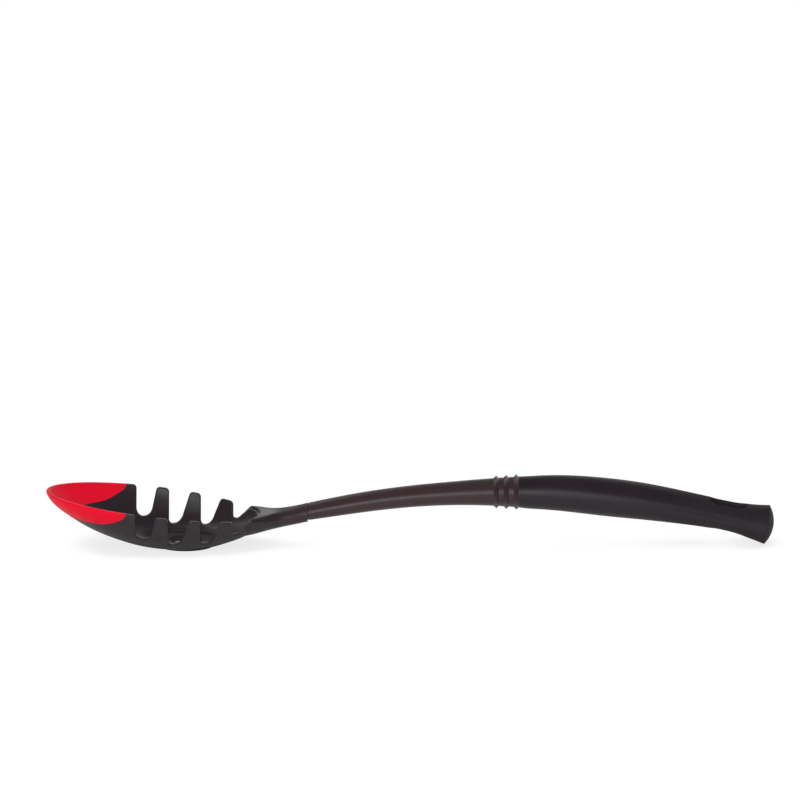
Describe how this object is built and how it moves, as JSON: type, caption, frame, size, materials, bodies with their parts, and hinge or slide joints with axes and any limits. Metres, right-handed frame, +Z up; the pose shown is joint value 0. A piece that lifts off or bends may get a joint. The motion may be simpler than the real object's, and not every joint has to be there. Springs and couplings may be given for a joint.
{
  "type": "pasta server",
  "caption": "Black nylon pasta server with a tined bowl, a red silicone lip, a measuring hole and an arched soft-grip handle with a hanging slot.",
  "frame": {"origin": "on the table, under the middle of the overall length", "axes": "+X from the lip to the end of the handle, +Z up out of the bowl, +Y across"},
  "size_m": [0.3402, 0.0648, 0.033],
  "materials": {
    "nylon": "moulded glass-filled nylon, satin black",
    "silicone": "moulded silicone rubber, satin red",
    "handle_plastic": "moulded polypropylene, satin brownish black",
    "soft_grip": "moulded thermoplastic elastomer, soft matt black"
  },
  "bodies": {
    "root": {"head": "nylon", "silicone_lip": "silicone", "handle_core": "handle_plastic", "grip_sleeve": "soft_grip", "end_cap": "handle_plastic"}
  },
  "joints": []
}
